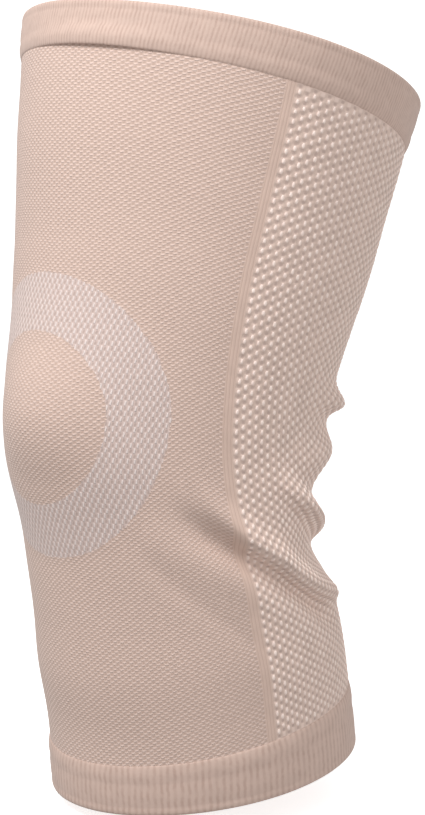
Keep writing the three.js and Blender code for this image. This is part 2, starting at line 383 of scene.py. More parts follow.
def shell(name, outer, inner, uv, closed=False, pole=False):
    """A closed shell between two grids of places, columns by rows, with a place on the cloth for each.
    closed: the columns run all the way round. pole: the first row is one point."""
    index = np.arange(2 * outer[..., 0].size).reshape(2, *outer.shape[:2])
    if pole:
        index[:, :, 0] = index[:, :1, 0]
    uv = np.stack([uv, uv])
    if closed:
        index, uv = (np.concatenate([grid, grid[:, :1]], 1) for grid in (index, uv))

    def sides(grid):
        """The shell's sides, each a grid that is seen from outside."""
        yield grid[0]
        yield grid[1].swapaxes(0, 1)
        yield grid[:, :, -1].swapaxes(0, 1)
        if not pole:
            yield grid[:, :, 0]
        if not closed:
            yield grid[:, 0].swapaxes(0, 1)
            yield grid[:, -1]

    faces, corners = (np.concatenate([cells(side) for side in sides(grid)]) for grid in (index, uv))
    return mesh_piece(name, np.concatenate([outer, inner]).reshape(-1, 3), faces, corners)


# Two faces that meet at a sharper angle than this are shaded as an edge.
SHARP = math.radians(60)


def mesh_piece(name, places, faces, corners):
    """A smooth mesh object from places and faces of four corners, two of which may be the same place."""
    a, b, c, d = (places[faces[:, k]] for k in range(4))
    if np.einsum("ij,ij->", a, np.cross(b, c)) + np.einsum("ij,ij->", a, np.cross(c, d)) < 0:
        faces, corners = faces[:, ::-1], corners[:, ::-1]
    distinct = faces != np.roll(faces, -1, 1)
    counts = distinct.sum(1)
    mesh = bpy.data.meshes.new(name)
    mesh.vertices.add(len(places))
    mesh.vertices.foreach_set("co", places.astype(np.float32).ravel())
    mesh.loops.add(int(counts.sum()))
    mesh.loops.foreach_set("vertex_index", faces[distinct].astype(np.int32))
    mesh.polygons.add(len(faces))
    mesh.polygons.foreach_set("loop_start", np.concatenate([[0], np.cumsum(counts)[:-1]]).astype(np.int32))
    layer = mesh.uv_layers.new(name="Knit")
    layer.data.foreach_set("uv", corners[distinct].astype(np.float32).ravel())
    mesh.update(calc_edges=True)
    mesh.validate()
    mesh.shade_smooth()
    mesh.set_sharp_from_angle(angle=SHARP)
    piece = bpy.data.objects.new(name, mesh)
    bpy.context.collection.objects.link(piece)
    return piece


def put_on(piece, material, slot, *nodes):
    """The piece takes its material, rides on the sleeve and stands for its solids. slot is not used."""
    piece.data.materials.append(material)
    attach(piece, "root")
    if nodes:
        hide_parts(*nodes)


# Materials


class Finish(NamedTuple):
    """A knit close up. uneven: how far its stitches stray, as a share of their spacing. patch and mottle: the
    size of the soft patches in its colour, and how much they vary. relief: how high its stitches stand."""

    uneven: float
    patch: float
    mottle: float
    relief: float


FINE = Finish(uneven=0.3, patch=2 * MM, mottle=0.035, relief=0.2 * MM)
OPEN = Finish(uneven=0.45, patch=2 * MM, mottle=0.05, relief=0.2 * MM)
PLAIN = Finish(uneven=0.2, patch=6 * MM, mottle=0.04, relief=0.05 * MM)
EYELET = Finish(uneven=0.25, patch=9 * MM, mottle=0.05, relief=0.22 * MM)
YARN = Finish(uneven=0, patch=4 * MM, mottle=0, relief=0.05 * MM)
RIBBED = Finish(uneven=0.5, patch=5 * MM, mottle=0.03, relief=0.05 * MM)

# What all the nylon yarns share: they are dull, with a faint bloom of loose fibres.
NYLON = {
    "Roughness": 0.82,
    "IOR": 1.53,
    "Specular IOR Level": 0.25,
    "Sheen Weight": 0.15,
    "Sheen Roughness": 0.5,
}


def new_material(name, values):
    """A material of nodes whose shader has the values given."""
    material = bpy.data.materials.new(name)
    material.use_nodes = True
    inputs = material.node_tree.nodes["Principled BSDF"].inputs
    for key, value in values.items():
        inputs[key].default_value = value
    return material


class Weave:
    """A nylon knit's material while its pattern is put together, over a place on the cloth."""

    def __init__(self, name, finish, spacing=MM):
        self.material = new_material(name, NYLON)
        self.finish = finish
        self.place = self.node("ShaderNodeUVMap", uv_map="Knit")
        if finish.uneven:
            stray = self.vector("SUBTRACT", {0: self.noise(2 * spacing, output="Color"), 1: (0.5, 0.5, 0.5)})
            stray = self.vector("SCALE", {0: stray, "Scale": finish.uneven * spacing})
            self.place = self.vector("ADD", {0: self.place, 1: stray})

    def node(self, kind, inputs=None, output=0, **settings):
        """An output of a new node. Each of its inputs gets a value, or a link from another node's output."""
        tree = self.material.node_tree
        node = tree.nodes.new(kind)
        for name, value in settings.items():
            setattr(node, name, value)
        for name, value in (inputs or {}).items():
            if isinstance(value, bpy.types.NodeSocket):
                tree.links.new(value, node.inputs[name])
            else:
                node.inputs[name].default_value = value
        return node.outputs[output]

    def number(self, operation, *values):
        """One step of arithmetic."""
        return self.node("ShaderNodeMath", dict(enumerate(values)), operation=operation)

    def vector(self, operation, inputs):
        """One step of arithmetic with places."""
        return self.node("ShaderNodeVectorMath", inputs, operation=operation)

    def noise(self, size, detail=2.0, output="Fac"):
        """A soft random pattern with features of about a size."""
        inputs = {"Vector": self.place, "Scale": 1 / size, "Detail": detail}
        return self.node("ShaderNodeTexNoise", inputs, output)

    def wave(self, axis, spacing, shift=0.0):
        """The cosine of the place along one axis of the cloth, from -1 to 1, once in each spacing."""
        along = self.node("ShaderNodeSeparateXYZ", {0: self.place}, axis)
        return self.number("COSINE", self.number("MULTIPLY_ADD", along, 2 * math.pi / spacing, shift))

    def lattice(self, wale, course):
        """Two crossed waves, 1 on the stitches and -1 in the pits between them."""
        return self.number("MULTIPLY", self.wave(0, wale), self.wave(1, course))

    def sway(self, axis, spacing, way):
        """Moves the stitches a way and back again, once in each spacing along an axis."""
        moved = self.vector("SCALE", {0: way, "Scale": self.wave(axis, spacing, -math.pi / 2)})
        self.place = self.vector("SUBTRACT", {0: self.place, 1: moved})

    def ramp(self, value, low, high, to_low=0.0, to_high=1.0):
        """A value turned smoothly from one range to another."""
        inputs = {"Value": value, "From Min": low, "From Max": high, "To Min": to_low, "To Max": to_high}
        return self.node("ShaderNodeMapRange", inputs, interpolation_type="SMOOTHSTEP")

    def mixed(self, factor, *colours):
        """Two colours mixed by a factor."""
        a, b = (each if isinstance(each, bpy.types.NodeSocket) else (*each, 1.0) for each in colours)
        return self.node("ShaderNodeMix", {0: factor, 6: a, 7: b}, 2, data_type="RGBA")

    def finished(self, colour, height):
        """The material, with soft patches in its colour as dyed yarn has, and its stitches as relief."""
        finish, tree = self.finish, self.material.node_tree
        if finish.mottle:
            value = self.ramp(self.noise(finish.patch, 3.0), *PATCHES, 1 - finish.mottle, 1 + finish.mottle)
            colour = self.node("ShaderNodeHueSaturation", {"Value": value, "Color": colour})
        bump = self.node("ShaderNodeBump", {"Strength": 1.0, "Distance": finish.relief, "Height": height})
        for name, value in (("Base Color", colour), ("Normal", bump)):
            tree.links.new(value, tree.nodes["Principled BSDF"].inputs[name])
        return self.material


# Below, a pair of numbers says where on a wave, a lattice or a noise something begins and where it is full.
PATCHES = (0.25, 0.75)
# In DASH, pit is where the fine knit's pits are painted darker, as shade.
DASH = {"lattice": (-0.25, 0.7), "row": (-1.3, 0.6), "pit": (0.0, -0.8)}
# In CHAIN, pit is where the ring's pits are painted darker, as shade.
CHAIN = {"lattice": (-0.3, 0.5), "chain": (-0.9, 0.8), "pit": (-0.1, -0.9)}
# In WALE, groove is where the strip's grooves are painted darker, as shade.
WALE = {"groove": (-0.4, -1.0), "height": (-1.0, 0.4)}
# In MESH, hole is where the eyelets are painted dark, as the shade seen down in them.
MESH = {"chain": (-0.9, 0.6), "hole": (-0.35, -0.95), "web": (-0.8, 0.5), "height": (-0.9, 0.3)}
YARN_LIGHT = (0.3, 0.7)
RIB = {"groove": (0.7, -1.0), "broken": (0.3, 0.7), "depth": (0.4, 1.0)}

# The length of the fainter stretches of a cuff's grooves, and the size of its fibres.
RIB_BREAK = 3 * MM
FIBRE = 0.8 * MM

# How far a dash of the fine knit sways up and a stitch of the ring sways over: it tilts by about 17 degrees
# or leans by about 20.
DASH_TILT = (0, 0.07 * MM, 0)
RING_LEAN = (0.1 * MM, 0, 0)


def birdseye_nylon(name, yarns, wale, course):
    """Fine nylon bird's-eye knit. Short light dashes stand in staggered rows over a darker ground, and the
    pits between them are painted darker still, as shade.
    """
    weave = Weave(name, FINE, wale)
    weave.sway(0, wale / 2, DASH_TILT)
    lattice = weave.lattice(wale, 2 * course)
    row = weave.ramp(weave.wave(1, course), *DASH["row"])
    dash = weave.number("MULTIPLY", weave.ramp(lattice, *DASH["lattice"]), row)
    # The pits are painted with a darker colour, as the shade that lies in them.
    ground = weave.mixed(weave.ramp(lattice, *DASH["pit"]), yarns.front_ground, yarns.front_pit_shade)
    return weave.finished(weave.mixed(dash, ground, yarns.front_dash), dash)


def open_ring_nylon(name, yarns, wale, course):
    """Open nylon knit in white yarn over the beige one. Its stitches stand in chains up the leg, with painted
    shade in the pits between them.
    """
    weave = Weave(name, OPEN, wale)
    weave.sway(1, course, RING_LEAN)
    lattice = weave.lattice(2 * wale, 2 * course)
    chain = weave.ramp(weave.wave(0, wale), *CHAIN["chain"])
    stitch = weave.number("MULTIPLY", weave.ramp(lattice, *CHAIN["lattice"]), chain)
    # The ring's pits are painted darker, as the shade that lies in them.
    ground = weave.mixed(weave.ramp(lattice, *CHAIN["pit"]), yarns.ring_ground, yarns.ring_pit_shade)
    return weave.finished(weave.mixed(stitch, ground, yarns.ring_stitch), stitch)


def plain_nylon(name, yarns, wale):
    """Plain nylon knit, smooth to the eye, with faint wales. Its grooves are painted a little darker, as
    shade.
    """
    weave = Weave(name, PLAIN, wale)
    wave = weave.wave(0, wale)
    # The grooves between the wales are painted darker, as shade.
    colour = weave.mixed(weave.ramp(wave, *WALE["groove"]), yarns.strip, yarns.strip_groove_shade)
    return weave.finished(colour, weave.ramp(wave, *WALE["height"]))


def eyelet_nylon(name, yarns, wale, course):
    """Eyelet mesh in greyish beige nylon. Small holes, painted dark as shade, alternate with raised white
    stitches.
    """
    weave = Weave(name, EYELET, wale)
    lattice = weave.lattice(2 * wale, course)
    chain = weave.ramp(weave.wave(0, wale), *MESH["chain"])
    # The eyelets are painted dark, as the shade seen down in them.
    hole = weave.number("MULTIPLY", weave.ramp(lattice, *MESH["hole"]), chain)
    web = weave.number("MULTIPLY", weave.ramp(lattice, *MESH["web"]), chain)
    ground = weave.mixed(web, yarns.mesh_ground, yarns.mesh_web)
    return weave.finished(weave.mixed(hole, ground, yarns.mesh_hole_shade), weave.ramp(lattice, *MESH["height"]))


def white_stitch_nylon(name, yarns):
    """Thick white nylon yarn in small raised stitches."""
    weave = Weave(name, YARN)
    spots = weave.noise(YARN.patch)
    colour = weave.mixed(weave.ramp(spots, *YARN_LIGHT), yarns.mesh_dot, yarns.mesh_dot_light)
    return weave.finished(colour, spots)


def rib_nylon(name, yarns, spacing):
    """Elastic nylon rib. The yarn is a little darker down in the grooves, where light doesn't reach."""
    weave = Weave(name, RIBBED, spacing)
    depth = weave.ramp(weave.noise(RIB_BREAK, 1.0), *RIB["broken"], *RIB["depth"])
    groove = weave.number("MULTIPLY", weave.ramp(weave.wave(0, spacing), *RIB["groove"]), depth)
    return weave.finished(weave.mixed(groove, yarns.cuff, yarns.cuff_groove), weave.noise(FIBRE))


# Sizes and colours that a user would change


def mm(name, millimetres, description):
    """A length's property, given in millimetres and kept in metres."""
    return FloatProperty(name=name, description=description, default=millimetres * MM, unit="LENGTH")


def factor(name, default, description, subtype="FACTOR"):
    """The property of a share of another size, or of an angle."""
    return FloatProperty(name=name, description=description, default=default, subtype=subtype)


class SleeveSizes(bpy.types.PropertyGroup):
    """The worn sleeve's own sizes, the ones that its solids are made from, and those of its knit."""

    length: mm("Length", 268, "Hem to hem on the centre line")
    knee_height: mm("Knee height", 143, "Bottom hem to the middle of the knee")
    top_breadth: mm("Thigh breadth", 150, "Side to side")
    top_depth: mm("Thigh depth", 158, "Front to back")
    knee_breadth: mm("Knee breadth", 122, "Side to side")
    knee_depth: mm("Knee depth", 130, "Front to back")
    bottom_breadth: mm("Calf breadth", 112, "Side to side")
    bottom_depth: mm("Calf depth", 118, "Front to back")
    thigh_lean: factor("Thigh lean", math.radians(12.5), "How far it leans back", "ANGLE")
    shin_lean: factor("Shin lean", math.radians(7.5), "How far it leans back", "ANGLE")
    bend_span: mm("Bend", 90, "Length of the knee's bend")
    panel_wall: mm("Panel wall", 1.8, "Thickness of the knit")
    cuff_wall: mm("Cuff wall", 2.6, "Thickness of a cuff")
    cuff_proud: mm("Cuff proud", 0.7, "How far a cuff stands out from the knit")
    top_cuff_front: mm("Top cuff, front", 16, "Its depth")
    top_cuff_back: mm("Top cuff, back", 19.5, "Its depth")
    bottom_cuff_front: mm("Bottom cuff, front", 18, "Its depth")
    bottom_cuff_back: mm("Bottom cuff, back", 26, "Its depth")
    hem_rise: mm("Hem rise", 6, "How far the top hem rides up inside the thigh")
    strip_width: mm("Side strip", 4, "Its width")
    ring_outer: mm("Ring outside", 56, "Radius")
    ring_inner: mm("Ring inside", 33.5, "Radius")
    ring_tall: factor("Ring tallness", 0.94, "Its height by its width")
    ring_below: mm("Ring drop", 7, "How far its middle lies below the knee's")
    stretch_round: factor("Stretch round", 1.15, "Worn girth by knitted girth")
    stretch_along: factor("Stretch along", 1.03, "Worn length by knitted length")
    waver: mm("Unevenness", 0.11, "Height of the knit's shallow waves")
    waves: IntProperty(name="Waves", description="How many lie over one another", default=14, min=1)
    front_wale: mm("Front wale", 2.78, "Dash to dash round the leg")
    front_course: mm("Front course", 0.87, "Row to row")
    ring_wale: mm("Ring wale", 1.27, "Chain to chain")
    ring_course: mm("Ring course", 1.76, "Stitch to stitch, from chain to chain")
    strip_wale: mm("Strip wale", 1.3, "Groove to groove")
    mesh_wales: IntProperty(name="Mesh wales", description="Columns of stitches behind", default=89, min=8)
    mesh_course: mm("Mesh course", 3.54, "Stitch to stitch up one column")
    top_rib: mm("Top rib", 1.6, "Rib to rib round the top cuff")
    bottom_rib: mm("Bottom rib", 2.5, "Rib to rib round the bottom cuff")
    rib_depth: mm("Rib depth", 0.1, "Crest to groove")


def tint(name, code, description):
    """A colour's property, given as an sRGB hex value."""
    return FloatVectorProperty(
        name=name, description=description, subtype="COLOR", size=3, default=srgb(code), min=0, max=1
    )


class SleeveYarns(bpy.types.PropertyGroup):
    """The colours of the yarns, and the painted shade in the knit's pits, eyelets and grooves."""

    front_ground: tint("Front ground", "#D5BBAE", "Between the dashes of the fine knit")
    front_dash: tint("Front dashes", "#E4CBC0", "The fine knit's light stitches")
    # Painted shade: the darker colour that the fine knit's pits get.
    front_pit_shade: tint("Front pits", "#C4A89A", "The fine knit's deepest places")
    ring_ground: tint("Ring ground", "#D4BEB6", "Between the ring's chains")
    # Painted shade: the darker colour that the ring's pits get.
    ring_pit_shade: tint("Ring pits", "#BDA79F", "The ring's deepest places")
    ring_stitch: tint("Ring stitches", "#E9DAD5", "The ring's white yarn")
    strip: tint("Side strip", "#D8BDAF", "Plain knit")
    # Painted shade: the darker colour that the strip's grooves get.
    strip_groove_shade: tint("Side strip's grooves", "#CDB1A3", "Between its wales")
    mesh_ground: tint("Mesh ground", "#DCC3B6", "The mesh's beige yarn")
    mesh_web: tint("Mesh web", "#E8CFC3", "Round the white stitches")
    # Painted shade: the dark colour that the eyelets get.
    mesh_hole_shade: tint("Mesh holes", "#C5ACA2", "Down in the eyelets")
    mesh_dot: tint("Mesh stitches", "#F3DDD3", "The raised white yarn")
    mesh_dot_light: tint("Mesh stitches, light", "#FAE7DD", "Its lightest places")
    cuff: tint("Cuffs", "#D1B7AA", "The ribs' crests")
    cuff_groove: tint("Cuffs' grooves", "#C1A598", "Between the ribs")
    floor: tint("Floor", "#FAFAFA", "The studio's floor and walls")


# The kneecap's round pieces and the front

# The rays from the ring's middle that its pieces and the front are built on, and how far one stitch
# of a round edge stands out past the next.
RAYS = {"across": 96, "upright": 128}
RAGGED = 0.3 * MM

# How many places a piece has from its inner edge to its outer one, or up its length.
STEPS = {"front": 84, "ring": 30, "dome": 36, "strip": 320}

# How many places a width at the knee is measured through.
WIDTH_STEPS = {"front": 200, "back": 300}


class Knitting:
    """What the operators share: each makes its pieces from the scene's sizes, yarns and cloth."""

    def execute(self, context):
        sizes = context.scene.sleeve_sizes
        self.make(sizes, context.scene.sleeve_yarns, Cloth(sizes))
        return {"FINISHED"}


def panel(name, sizes, angle, along, uv, rise=0.0, closed=False, pole=False):
    """A shell of the knit, raised a little on its outer face where rise says so."""
    outer = knit(sizes, angle, along, -rise)
    return shell(name, outer, knit(sizes, angle, along, sizes.panel_wall), uv, closed, pole)


def front_width(sizes):
    """The front's width at the knee, the scale that its stitches are set by."""
    end = beside_strip(sizes, sizes.knee_height, 0)
    return knee_width(sizes, -end, end, WIDTH_STEPS["front"])


def front_uv(sizes, cloth, angle, along):
    """Where places of the front lie on its cloth, in metres as worn at the knee."""
    u = angle / beside_strip(sizes, along, 0) * front_width(sizes) / 2
    v = cloth.share(angle, along) * cloth.length
    return joined(u, v)


def border(sizes, cloth):
    """The angles and heights where the rays meet the front panel's border, from its bottom left corner."""
    across, upright = RAYS["across"], RAYS["upright"]
    along_width = np.arange(across) / across
    along_height = np.arange(upright) / upright
    u = np.concatenate([along_width, np.ones(upright), 1 - along_width, np.zeros(upright)])
    share = np.concatenate([np.zeros(across), along_height, np.ones(across), 1 - along_height])
    half_strip = sizes.strip_width / 2
    return place_where(sizes, cloth, share, lambda at: (2 * u - 1) * beside_strip(sizes, at, -half_strip))


def on_ray(sizes, angle, along, distance):
    """Places at a distance from the ring's middle, on the way to places of the border."""
    radius = (sizes.knee_breadth + sizes.knee_depth) / 4
    height = sizes.knee_height - sizes.ring_below
    # The front lies outside the knee's bend, so a length there is longer than on the centre line.
    stretch = 1 + sizes.knee_depth / 2 * (sizes.thigh_lean + sizes.shin_lean) / sizes.bend_span
    direction = np.arctan2((along - height) * stretch / sizes.ring_tall, np.radians(angle) * radius)
    return (
        np.degrees(np.cos(direction) * distance / radius),
        height + np.sin(direction) * distance * sizes.ring_tall / stretch,
    )


def ragged(distance):
    """A round edge's distance from the ring's middle on each ray, uneven from stitch to stitch."""
    random = np.random.default_rng(SEED)
    count = 2 * (RAYS["across"] + RAYS["upright"])
    return distance + (RAGGED * random.uniform(-1, 1, count) if distance else np.zeros(count))


class KNEESLEEVE_OT_front(Knitting, bpy.types.Operator):
    """Knits the fine front panel, round the kneecap's ring"""

    bl_idname = "knee_sleeve.front"
    bl_label = "Front panel"

    def make(self, sizes, yarns, cloth):
        angle, along = border(sizes, cloth)
        inner_angle, inner_along = on_ray(sizes, angle, along, ragged(sizes.ring_outer))
        share = np.linspace(0, 1, STEPS["front"])
        a = inner_angle[:, None] + (angle - inner_angle)[:, None] * share
        h = inner_along[:, None] + (along - inner_along)[:, None] * share
        piece = panel("front_knit", sizes, a, h, front_uv(sizes, cloth, a, h), closed=True)
        material = birdseye_nylon("Nylon bird's-eye knit, beige", yarns, sizes.front_wale, sizes.front_course)
        put_on(piece, material, "front_knit", "front_panel")
        width, length = front_width(sizes), cloth.length


class KNEESLEEVE_OT_kneecap(Knitting, bpy.types.Operator):
    """Knits the pale ring round the kneecap and the dome inside it"""

    bl_idname = "knee_sleeve.kneecap"
    bl_label = "Kneecap ring and dome"

    def make(self, sizes, yarns, cloth):
        angle, along = border(sizes, cloth)
        ring = open_ring_nylon("Nylon open knit, white on beige", yarns, sizes.ring_wale, sizes.ring_course)
        fine = sizes.front_wale, sizes.front_course
        dome = birdseye_nylon("Nylon bird's-eye knit, beige, dome", yarns, *fine)
        for name, slot, material, inner, outer in (
            ("ring", "ring_knit", ring, sizes.ring_inner, sizes.ring_outer),
            ("dome", "front_knit", dome, 0, sizes.ring_inner),
        ):
            distance = np.linspace(ragged(inner), ragged(outer), STEPS[name]).T
            a, h = on_ray(sizes, angle[:, None], along[:, None], distance)
            uv = front_uv(sizes, cloth, a, h)
            piece = panel(f"{name}_knit", sizes, a, h, uv, closed=True, pole=inner == 0)
            put_on(piece, material, slot, f"kneecap_{name}")


# The side strips

# A strip's outer face. Its edges dip by rise and its groove by deep times as much. How far across the strip
# the groove lies and how wide it is are shares.
STRIP = {"columns": 13, "rise": 0.03 * MM, "groove": 0.64, "wide": 0.08, "deep": 0.8}

# A sheet's flat width is given as this at least. Its area tells how narrow the strip is.
NARROWEST_SHEET = 10 * MM


class KNEESLEEVE_OT_strips(Knitting, bpy.types.Operator):
    """Knits the plain strip down each side"""

    bl_idname = "knee_sleeve.strips"
    bl_label = "Side strips"

    def make(self, sizes, yarns, cloth):
        material = plain_nylon("Nylon plain knit, beige", yarns, sizes.strip_wale)
        share = np.linspace(0, 1, STEPS["strip"])[None]
        across = np.linspace(0, 1, STRIP["columns"])[:, None]
        groove = STRIP["deep"] * np.exp(-(((across - STRIP["groove"]) / STRIP["wide"]) ** 2))
        rise = STRIP["rise"] * (np.sin(np.pi * across) ** 0.5 - groove)
        uv = joined(across * sizes.strip_width, share * cloth.length)
        off_middle = (across - 0.5) * sizes.strip_width
        width = max(sizes.strip_width, NARROWEST_SHEET) * sizes.stretch_round
        for side, name in ((-1, "left"), (1, "right")):
            angle, along = place_where(
                sizes, cloth, share, lambda at: side * beside_strip(sizes, at, off_middle)
            )
            piece = panel(f"strip_knit_{name}", sizes, angle, along, uv, rise)
            put_on(piece, material, "strip_knit", f"side_strip_{name}")


# The mesh behind the knee


def back_place(sizes, cloth, across, share):
    """The angles and heights of places of the back, from 0 at the right strip to 1 at the left one."""

    def angle_at(height):
        start = beside_strip(sizes, height, sizes.strip_width / 2)
        return start + (360 - 2 * start) * across

    return place_where(sizes, cloth, share, angle_at)


def back_width(sizes):
    """The back's width at the knee, the scale that its stitches are set by."""
    start = beside_strip(sizes, sizes.knee_height, sizes.strip_width / 2)
    return knee_width(sizes, start, 360 - start, WIDTH_STEPS["back"])


# How far the web round a white stitch stands up, and how deep an eyelet lies.
WEB_RISE = 0.14 * MM

# A white stitch: half its width and height, how high it stands, how unlike each other they are, how much of
# the web's rise it stands on, and the share of the cloth that is left free of them at each end.
STITCH = {"size": (0.66 * MM, 0.98 * MM, 0.34 * MM), "varied": 0.16, "on_web": 0.4, "free": 0.008}

# How far to each side of a place its own ways across and up are measured.
NEARBY = 0.2 * MM

# A white stitch's dome: its sides, and the radius and height of each ring of them as shares.
STITCH_SIDES = 6
STITCH_RINGS = ((1.0, 0.0), (0.86, 0.55), (0.5, 0.88))


def stitch_dome():
    """A small dome of places and faces, with 1 for its radius and its height, standing on 0."""
    turns = np.linspace(0, 2 * np.pi, STITCH_SIDES, False)
    places = [(math.cos(t) * r, math.sin(t) * r, h) for r, h in STITCH_RINGS for t in turns]
    places.append((0.0, 0.0, 1.0))
    pairs = [(k, (k + 1) % STITCH_SIDES) for k in range(STITCH_SIDES)]
    top, tip = (len(STITCH_RINGS) - 1) * STITCH_SIDES, len(places) - 1
    faces = [
        (low + k, low + after, low + STITCH_SIDES + after, low + STITCH_SIDES + k)
        for low in range(0, top, STITCH_SIDES)
        for k, after in pairs
    ]
    faces += [(top + k, top + after, tip, tip) for k, after in pairs]
    return np.array(places), np.array(faces)


class KNEESLEEVE_OT_back(Knitting, bpy.types.Operator):
    """Knits the eyelet mesh behind the knee, with its raised white stitches"""

    bl_idname = "knee_sleeve.back"
    bl_label = "Mesh back"

    def make(self, sizes, yarns, cloth):
        wales, courses = sizes.mesh_wales, round(cloth.length / sizes.mesh_course)
        column = np.arange(2 * wales + 1)[:, None]
        row = np.arange(4 * courses + 1)[None]
        across, share = column / (2 * wales), row / (4 * courses)
        angle, along = back_place(sizes, cloth, across, share)
        # White stitches and eyelets alternate up each wale and from wale to wale.
        raised = np.cos(np.pi * (column - 1) / 2) * np.cos(np.pi * row / 2)
        width = back_width(sizes)
        uv = joined((across * wales - 0.5) * width / wales, share * cloth.length)
        piece = panel("mesh_knit", sizes, angle, along, uv, raised * WEB_RISE)
        stitches = self.white_stitches(sizes, cloth, wales, courses)
        mesh = eyelet_nylon("Nylon eyelet mesh, greyish beige", yarns, width / wales, cloth.length / courses)
        put_on(piece, mesh, "mesh_knit", "back_panel")
        put_on(stitches, white_stitch_nylon("Nylon stitches, white", yarns), "mesh_knit")

    def white_stitches(self, sizes, cloth, wales, courses):
        """All the raised stitches as one piece."""
        random = np.random.default_rng(SEED)
        wale, course = (each.ravel() for each in np.indices((wales, courses + 1)))
        share = (course + 0.5 * (wale % 2)) / courses
        inside = (share > STITCH["free"]) & (share < 1 - STITCH["free"])
        wale, share = wale[inside], share[inside]
        angle, along = back_place(sizes, cloth, (wale + 0.5) / wales, share)
        turn = np.degrees(NEARBY / (sizes.knee_breadth / 2))
        right = knit(sizes, angle + turn, along, 0) - knit(sizes, angle - turn, along, 0)
        up = knit(sizes, angle, along + NEARBY, 0) - knit(sizes, angle, along - NEARBY, 0)
        right, up = (way / np.linalg.norm(way, axis=-1, keepdims=True) for way in (right, up))
        out = np.cross(right, up)
        out /= np.linalg.norm(out, axis=-1, keepdims=True)
        scale = 1 + STITCH["varied"] * random.uniform(-1, 1, (len(wale), 3))
        dome, faces = stitch_dome()
        shape = dome[None] * (STITCH["size"] * scale)[:, None]
        middle = knit(sizes, angle, along, -STITCH["on_web"] * WEB_RISE)
        places = middle[:, None] + np.einsum("nkc,ncd->nkd", shape, np.stack([right, up, out], 1))
        faces = (faces[None] + np.arange(len(wale))[:, None, None] * len(dome)).reshape(-1, 4)
        uv = joined(wale * sizes.mesh_course, share * cloth.length)
        corners = np.repeat(uv, len(faces) // len(wale), 0)[:, None].repeat(4, 1)
        return mesh_piece("mesh_stitches", places.reshape(-1, 3), faces, corners)


# The cuffs


# Rows of places round a cuff, from inside its hem over its outer face and back. Each has its distance from
# the hem, in walls and as a share of the cuff's depth, then how far out it lies as a share of the wall, and
# how much of the ribs shows there.
CUFF_ROWS = (
    (0.45, 0, 0.0, 0),
    (0.2, 0, 0.08, 0),
    (0.05, 0, 0.26, 0.1),
    (0, 0, 0.5, 0.3),
    (0.05, 0, 0.74, 0.55),
    (0.2, 0, 0.92, 0.8),
    (0.45, 0, 1.0, 0.9),
    (0.9, 0, 1.02, 0.9),
    (1.15, 0, 0.96, 0.8),
    (1.4, 0, 1.0, 1),
    (0.9, 0.25, 1.06, 1),
    (0.5, 0.45, 1.06, 1),
    (0.2, 0.58, 1.0, 0.8),
    (-0.1, 0.68, 1.0, 0.4),
    (-0.3, 0.8, 1.08, 0.3),
    (-0.5, 0.92, 1.04, 0.3),
    (-0.6, 1, 0.95, 0.3),
    (-0.3, 1, 0.88, 0.25),
    (-0.1, 1, 0.79, 0.2),
    (0, 1, 0.68, 0.2),
    (-0.1, 1, 0.3, 0),
    (-0.4, 1, 0.02, 0),
    (0, 0.66, 0.0, 0),
    (0, 0.33, 0.0, 0),
)

# How far a rib slants from upright, as it goes from the turned hem to the seam.
RIB_SLANT = {"top": 0.16, "bottom": 0.0}

# How far the turned hem reaches down, in walls.
TURNED_HEM = 1.15

# The places across a rib, and how flat its crest is: 1 is round, and less is flatter.
RIB_SAMPLES = 6
RIB_FLATNESS = 0.7

# The ribs fade where the knit is stretched over the leg's right side, down to the share that is left.
FADE = {"start": 60, "end": 115, "left": 0.45}

# The top cuff's lower edge stands off the knit beside the kneecap's middle line, in the rows up to walls.
LIFT = {"angle": 16, "around": 34, "top": 1.3 * MM, "bottom": 0, "walls": 0.2}


def ribbed_cuff(sizes, end):
    """A closed band of ribs from a hem to a seam, with a turned edge at the hem, and its girth."""
    ring = np.linspace(0, 360, 361)
    girth = way_length(knit(sizes, ring, hem(sizes, end, ring), 0))
    spacing = getattr(sizes, f"{end}_rib")
    ribs = round(girth / spacing)
    angle = (np.arange(ribs * RIB_SAMPLES + 1) * 360 / (ribs * RIB_SAMPLES))[:, None]
    walls, share, out, ribbed = np.array(CUFF_ROWS).T[:, None]
    low = hem(sizes, end, angle)
    inwards = seam(sizes, end, angle) - low
    from_hem = walls * sizes.cuff_wall + share * np.abs(inwards)
    along = low + np.sign(inwards) * from_hem
    below_turn = np.maximum(from_hem - TURNED_HEM * sizes.cuff_wall, 0)
    rib = angle * ribs / 360 + RIB_SLANT[end] * below_turn / spacing
    crest = np.abs(np.cos(np.pi * rib)) ** RIB_FLATNESS - 1
    centred = (angle + 180) % 360 - 180
    faded = ease((centred - FADE["start"]) / (FADE["end"] - FADE["start"]))
    ribbed = ribbed * (1 - (1 - FADE["left"]) * faded)
    beside = ease(1 - np.abs(centred - LIFT["angle"]) / LIFT["around"])
    off_knit = LIFT[end] * beside * ease(share) * (walls <= LIFT["walls"])
    inside = sizes.cuff_wall - sizes.cuff_proud
    depth = inside - out * sizes.cuff_wall - crest * ribbed * sizes.rib_depth - off_knit
    places = knit(sizes, angle, along, depth)
    uv = joined(rib * sizes.top_rib, from_hem)
    return band(f"{end}_cuff_rib", places, uv), girth


def band(name, places, uv):
    """A closed mesh from rows of places round a ring, where the last column repeats the first."""
    columns, rows = places.shape[0] - 1, places.shape[1]
    index = np.pad(np.arange(columns * rows).reshape(columns, rows), ((0, 1), (0, 1)), mode="wrap")
    uv = np.pad(uv, ((0, 0), (0, 1), (0, 0)), mode="wrap")
    return mesh_piece(name, places[:-1].reshape(-1, 3), cells(index), cells(uv))


